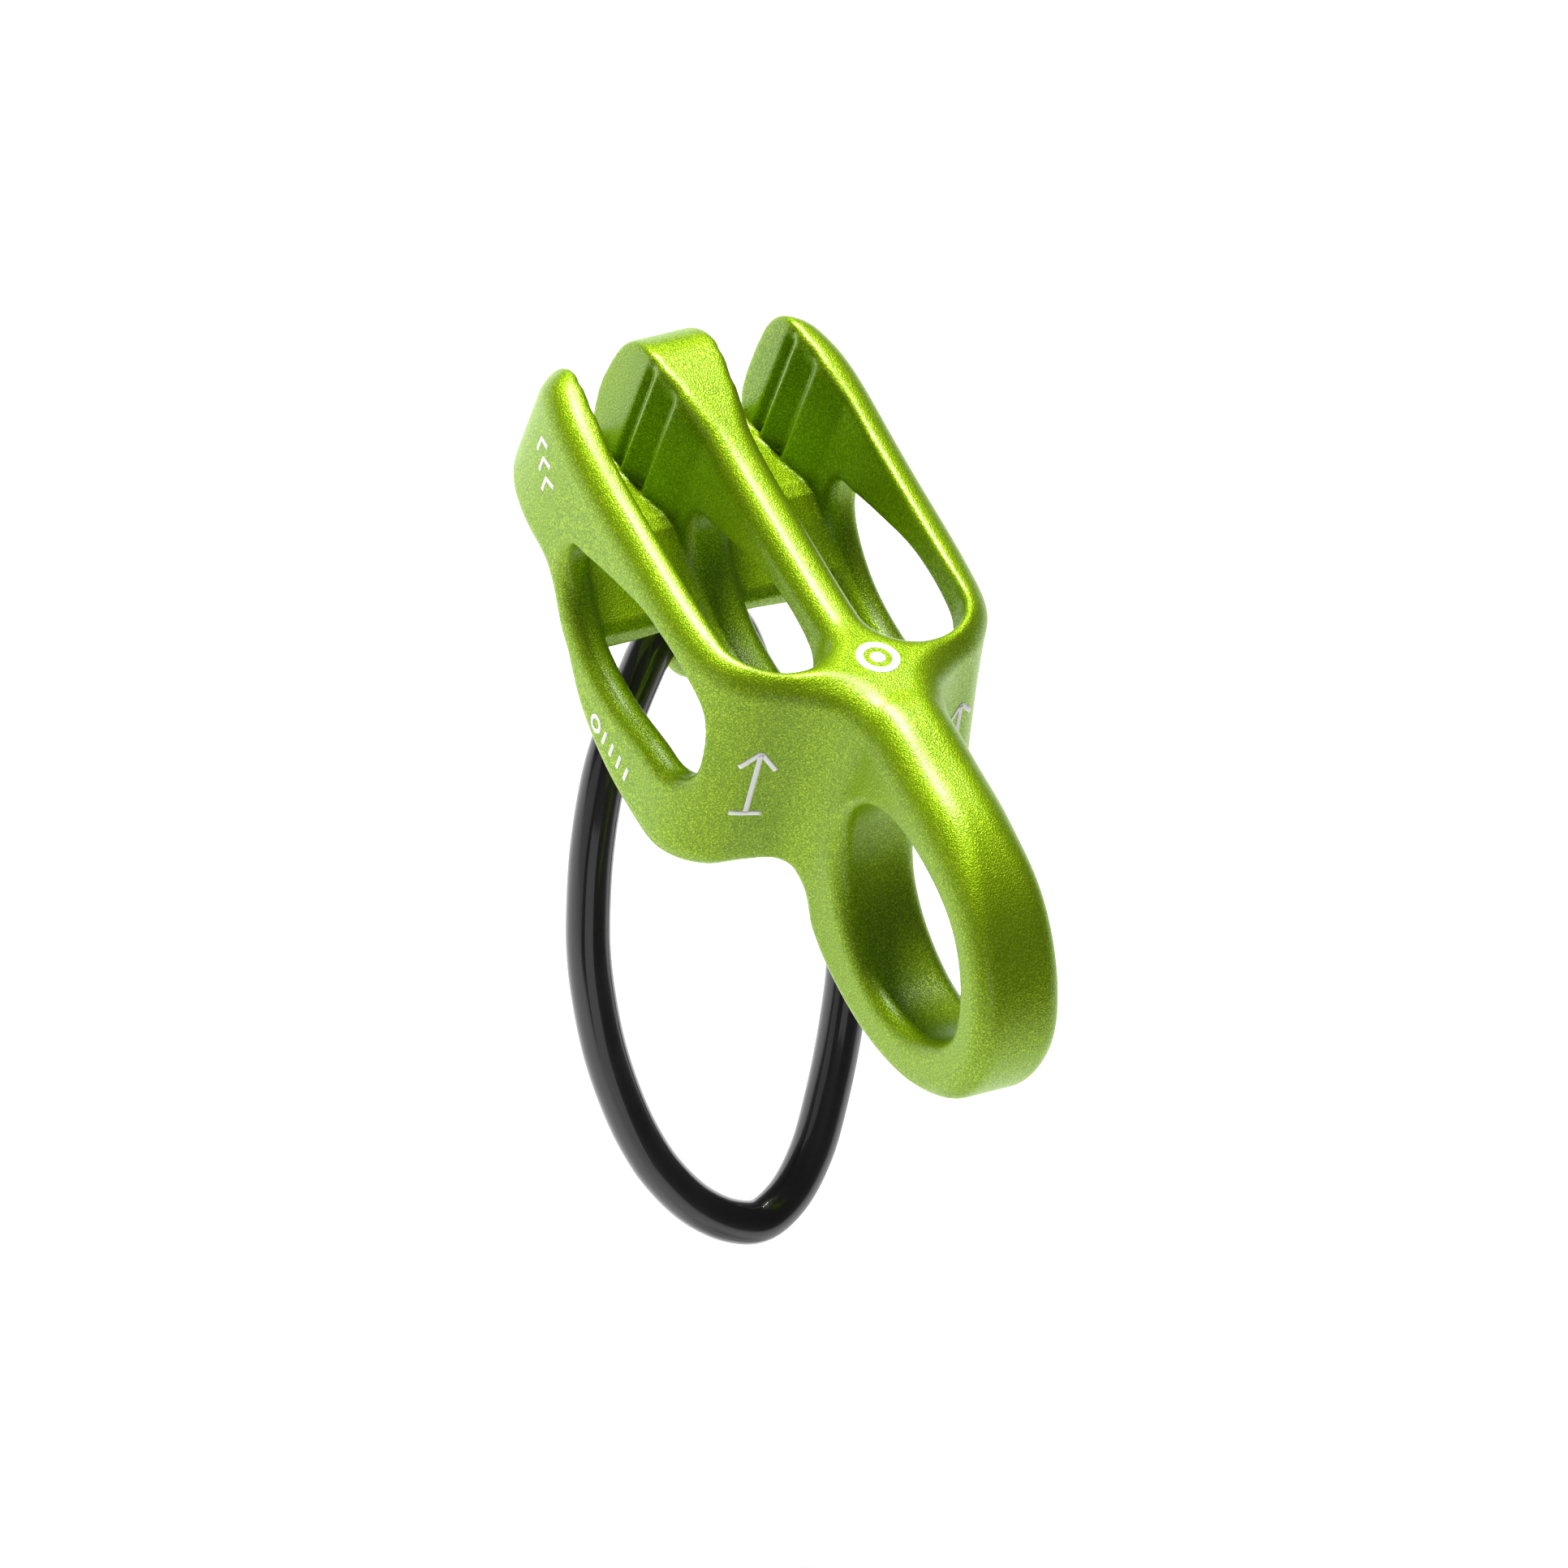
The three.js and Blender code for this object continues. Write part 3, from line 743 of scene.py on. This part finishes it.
def bump(nodes, links, noise, distance, strength, normal_input):
    """Fine relief that follows a noise, into one of the shader's normals."""
    node = nodes.new("ShaderNodeBump")
    node.inputs["Strength"].default_value = strength
    node.inputs["Distance"].default_value = distance
    links.new(noise.outputs["Fac"], node.inputs["Height"])
    links.new(node.outputs["Normal"], normal_input)


def anodised_metal():
    """Bead blasted and dyed: a dull metal with a fine sparkle, under a clear hard layer."""
    material, nodes, links, shader = new_material("anodised")
    grain = object_noise(nodes, links, 6500, 1.0, 0.7)
    cloud = object_noise(nodes, links, 130, 3.0)
    colour = ramp(nodes, links, grain.outputs["Fac"], [
        (0.32, (0.165, 0.290, 0.0003)),
        (0.52, (0.230, 0.375, 0.0006)),
        (0.68, (0.430, 0.600, 0.0200)),
    ])
    tint = ramp(nodes, links, cloud.outputs["Fac"], [
        (NOISE_LOW, (0.93, 0.95, 0.9)),
        (NOISE_HIGH, (1.0, 1.0, 1.0)),
    ])
    mix = nodes.new("ShaderNodeMix")
    mix.data_type = "RGBA"
    mix.blend_type = "MULTIPLY"
    mix.inputs["Factor"].default_value = 1
    links.new(colour.outputs["Color"], mix.inputs["A"])
    links.new(tint.outputs["Color"], mix.inputs["B"])
    links.new(mix.outputs["Result"], shader.inputs["Base Color"])
    vary_roughness(nodes, links, grain, shader, 0.68, 0.5)
    blast_depth = 0.12 * MM
    bump(nodes, links, grain, blast_depth, 0.6, shader.inputs["Normal"])
    bump(nodes, links, grain, blast_depth, 0.22, shader.inputs["Coat Normal"])
    shader.inputs["Metallic"].default_value = 1.0
    shader.inputs["Specular Tint"].default_value = (0.55, 0.78, 0.06, 1)
    shader.inputs["Coat Weight"].default_value = 0.6
    shader.inputs["Coat Roughness"].default_value = 0.27
    shader.inputs["Coat IOR"].default_value = 1.5
    return material


def jacket_plastic():
    """Extruded black plastic: half gloss, with a slow waviness and a few dull patches."""
    material, nodes, links, shader = new_material("jacket")
    waves = object_noise(nodes, links, 160, 2.0)
    fine = object_noise(nodes, links, 2600, 2.0)
    colour = ramp(nodes, links, waves.outputs["Fac"], [
        (NOISE_LOW, (0.0040, 0.0030, 0.0042)),
        (NOISE_HIGH, (0.0060, 0.0048, 0.0064)),
    ])
    links.new(colour.outputs["Color"], shader.inputs["Base Color"])
    vary_roughness(nodes, links, waves, shader, 0.3, 0.42)
    bump(nodes, links, fine, 0.01 * MM, 0.3, shader.inputs["Normal"])
    shader.inputs["Specular IOR Level"].default_value = 0.25
    shader.inputs["Coat Weight"].default_value = 0.8
    shader.inputs["Coat Roughness"].default_value = 0.07
    return material


def plain_material(name):
    """One of the plain finishes: colour and roughness vary together with a fine noise."""
    dark, light, lowest, highest, metallic, scale = PLAIN_FINISHES[name]
    material, nodes, links, shader = new_material(name)
    grain = object_noise(nodes, links, scale, 3.0)
    colour = ramp(nodes, links, grain.outputs["Fac"], [(NOISE_LOW, dark), (NOISE_HIGH, light)])
    links.new(colour.outputs["Color"], shader.inputs["Base Color"])
    vary_roughness(nodes, links, grain, shader, lowest, highest)
    bump(nodes, links, grain, 0.03 * MM, 0.4, shader.inputs["Normal"])
    shader.inputs["Metallic"].default_value = metallic
    return material


def finish_hidden_metal():
    """Materials for the wire and the ferrule, which keep their CAD shapes."""
    for node, finish in (("keeper_wire", "wire"), ("keeper_ferrule", "ferrule")):
        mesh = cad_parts[node].data
        mesh.materials.clear()
        mesh.materials.append(plain_material(finish))


# ---------------------------------------------------------------- stage
def add_floor():
    """A pale floor, lower than the keeper reaches at any angle."""
    low = (BORE_Z - FLOOR_BELOW_BORE) * MM
    points = [(x * FLOOR_REACH, y * FLOOR_REACH, low) for x, y in ((-1, -1), (1, -1), (1, 1), (-1, 1))]
    mesh = bpy.data.meshes.new("floor")
    mesh.from_pydata(points, [], [(0, 1, 2, 3)])
    floor = bpy.data.objects.new("floor", mesh)
    bpy.context.scene.collection.objects.link(floor)
    material, nodes, links, shader = new_material("floor")
    shade = object_noise(nodes, links, 3, 2.0)
    colour = ramp(nodes, links, shade.outputs["Fac"], [
        (0.2, (0.90, 0.90, 0.90)),
        (0.8, (0.92, 0.92, 0.92)),
    ])
    links.new(colour.outputs["Color"], shader.inputs["Base Color"])
    shader.inputs["Roughness"].default_value = 0.9
    shader.inputs["Specular IOR Level"].default_value = 0.1
    shader.inputs["Emission Color"].default_value = (1, 1, 1, 1)
    shader.inputs["Emission Strength"].default_value = 0.3
    mesh.materials.append(material)


def add_light(name, toward, size, power):
    """A square soft light that faces the object from a direction."""
    data = bpy.data.lights.new(name, "AREA")
    data.shape = "SQUARE"
    data.size = size
    data.energy = power
    light = bpy.data.objects.new(name, data)
    back = Vector(toward).normalized()
    light.location = CAMERA_TARGET + back * LIGHT_DISTANCE
    light.rotation_mode = "QUATERNION"
    light.rotation_quaternion = (-back).to_track_quat("-Z", "Y")
    bpy.context.scene.collection.objects.link(light)


def add_world():
    """Even grey light from all round."""
    world = bpy.data.worlds.new("studio")
    world.use_nodes = True
    background = world.node_tree.nodes["Background"]
    background.inputs["Color"].default_value = (WORLD_LEVEL, WORLD_LEVEL, WORLD_LEVEL, 1)
    bpy.context.scene.world = world


# ---------------------------------------------------------------- the scene
add_camera()
add_keeper()
add_marks(add_body())
finish_hidden_metal()
add_floor()
add_world()
for light in LIGHTS:
    add_light(*light)
bpy.context.scene.view_settings.view_transform = "Standard"
